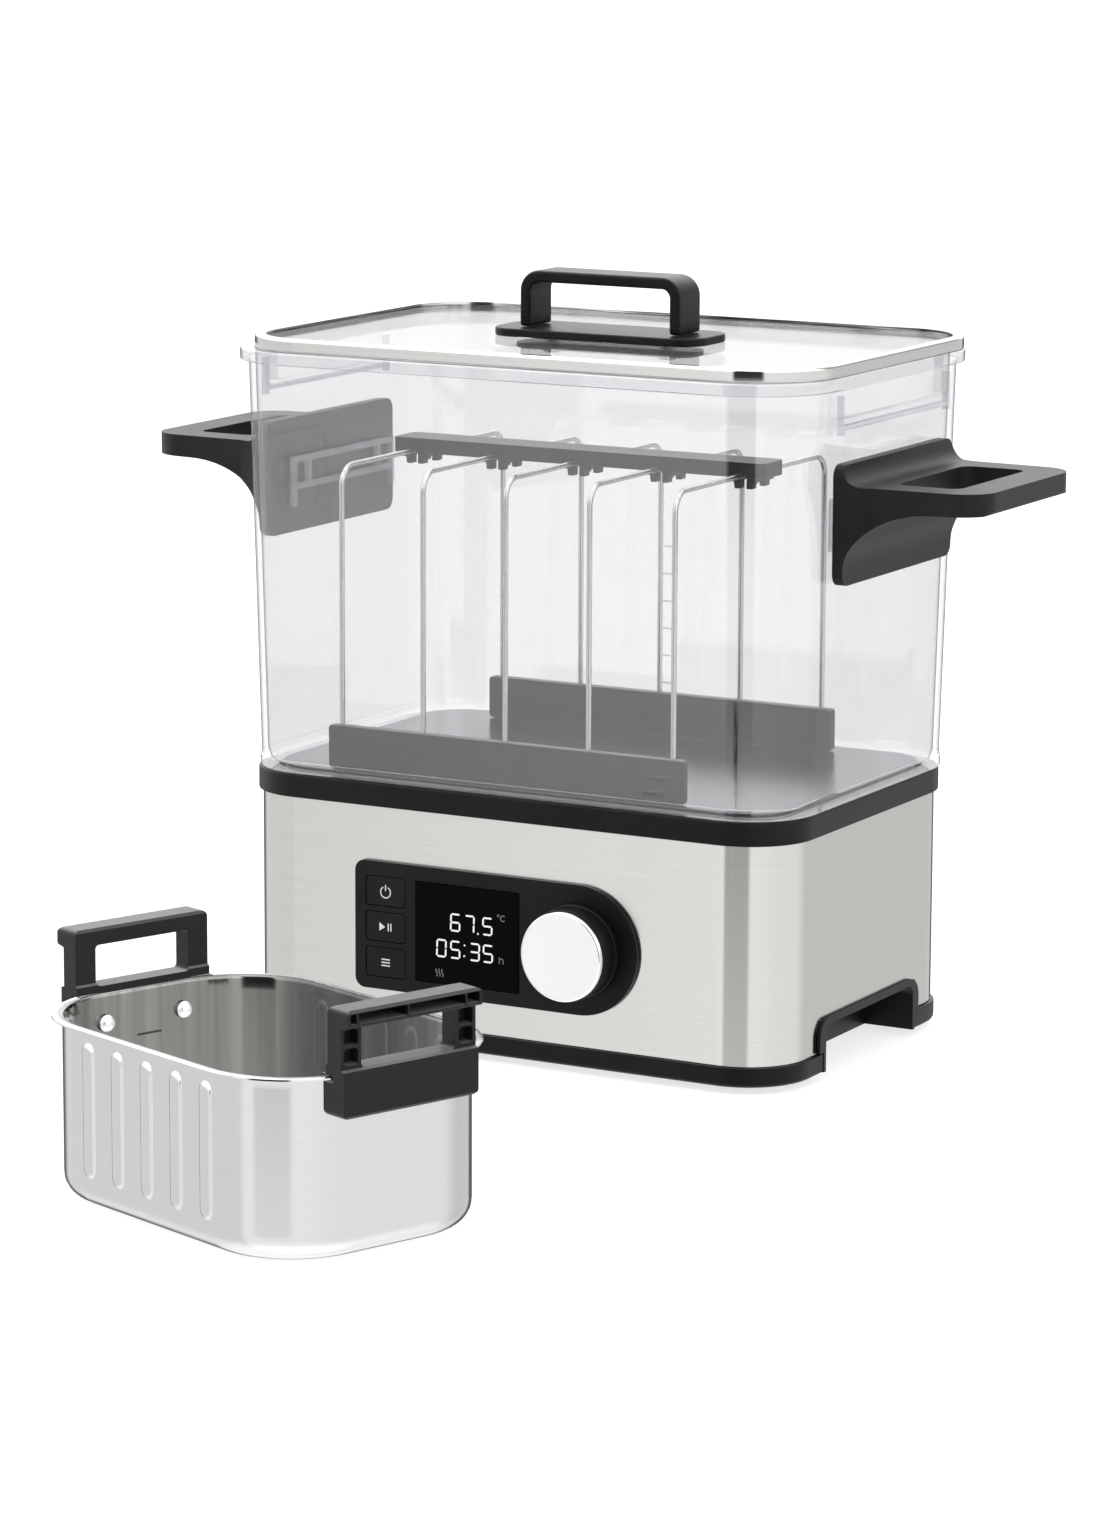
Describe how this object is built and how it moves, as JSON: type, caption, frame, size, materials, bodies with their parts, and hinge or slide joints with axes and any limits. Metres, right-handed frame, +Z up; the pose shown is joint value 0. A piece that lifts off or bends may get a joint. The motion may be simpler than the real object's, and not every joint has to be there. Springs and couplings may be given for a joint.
{
  "type": "sous vide water bath cooker",
  "caption": "Countertop sous vide water bath: heated steel base with display and knob, clear lift-off tank with loop handles, glass lid, wire pouch rack and ribbed steel insert pan.",
  "frame": {"origin": "centre of the set's footprint (cooker behind, insert pan in front) on the counter", "axes": "+Z up, -Y towards the user on the control panel's side, +X to the user's right"},
  "size_m": [0.431, 0.5343, 0.3533],
  "materials": {
    "black_plastic": "satin black moulding",
    "charcoal_plastic": "matt charcoal moulding",
    "gloss_black": "gloss black",
    "brushed_steel": "brushed",
    "polished_steel": "polished",
    "chrome": "mirror",
    "clear_plastic": "clear",
    "clear_glass": "clear float glass",
    "aluminium": "cast",
    "rubber": "matt",
    "silicone": "translucent grey",
    "circuit_board": "green laminate"
  },
  "bodies": {
    "base": {"bottom_tray": "black_plastic", "steel_sleeve": "brushed_steel", "top_collar": "black_plastic", "side_grip_left": "black_plastic", "side_grip_right": "black_plastic", "foot_1": "rubber", "foot_2": "rubber", "foot_3": "rubber", "foot_4": "rubber", "case_screw_1": "polished_steel", "case_screw_2": "polished_steel", "case_screw_3": "polished_steel", "case_screw_4": "polished_steel", "mains_inlet": "black_plastic", "front_bezel": "black_plastic", "display_window": "gloss_black", "control_board": "circuit_board", "encoder": "aluminium", "heater_plate": "aluminium", "heating_element": "polished_steel", "temperature_sensor": "aluminium", "power_board": "circuit_board"},
    "power_key": {"button_power": "black_plastic"},
    "start_key": {"button_start": "black_plastic"},
    "menu_key": {"button_menu": "black_plastic"},
    "knob": {"knob_cap": "chrome", "knob_core": "black_plastic", "knob_shaft": "polished_steel"},
    "tank": {"tank_shell": "clear_plastic", "tank_floor_plate": "brushed_steel", "tank_seal": "silicone", "tank_handle_left": "charcoal_plastic", "tank_handle_right": "charcoal_plastic"},
    "lid": {"lid_glass": "clear_glass", "lid_rim": "polished_steel", "lid_handle_base": "black_plastic", "lid_handle": "black_plastic", "lid_clamp_plate": "black_plastic", "lid_screw_1": "polished_steel", "lid_screw_2": "polished_steel"},
    "rack": {"rack_bar": "black_plastic", "rack_rail_front": "black_plastic", "rack_rail_rear": "black_plastic", "rack_wire_1": "polished_steel", "rack_wire_2": "polished_steel", "rack_wire_3": "polished_steel", "rack_wire_4": "polished_steel", "rack_wire_5": "polished_steel"},
    "insert_pan": {"pan_basin": "brushed_steel", "pan_handle_left": "charcoal_plastic", "pan_handle_right": "charcoal_plastic", "pan_rivet_1": "polished_steel", "pan_rivet_2": "polished_steel", "pan_rivet_3": "polished_steel", "pan_rivet_4": "polished_steel"}
  },
  "joints": [
    {"name": "tank_lift", "type": "slide", "parent": "base", "child": "tank", "axis": [0, 0, 1], "range_m": [0, 0.25]},
    {"name": "lid_lift", "type": "slide", "parent": "tank", "child": "lid", "axis": [0, 0, 1], "range_m": [0, 0.2]},
    {"name": "rack_lift", "type": "slide", "parent": "tank", "child": "rack", "axis": [0, 0, 1], "range_m": [0, 0.03]},
    {"name": "knob_turn", "type": "hinge", "parent": "base", "child": "knob", "pos_m": [0.0402, 0.06955, 0.0576], "axis": [0, -1, 0], "continuous": true},
    {"name": "power_key_press", "type": "slide", "parent": "base", "child": "power_key", "axis": [0, 1, 0], "range_m": [0, 0.001], "stiffness_N_per_m": 1500, "springref_m": -0.0004},
    {"name": "start_key_press", "type": "slide", "parent": "base", "child": "start_key", "axis": [0, 1, 0], "range_m": [0, 0.001], "stiffness_N_per_m": 1500, "springref_m": -0.0004},
    {"name": "menu_key_press", "type": "slide", "parent": "base", "child": "menu_key", "axis": [0, 1, 0], "range_m": [0, 0.001], "stiffness_N_per_m": 1500, "springref_m": -0.0004},
    {"name": "pan_lift", "type": "slide", "parent": "base", "child": "insert_pan", "axis": [0, 0, 1], "range_m": [0, 0.15]}
  ]
}
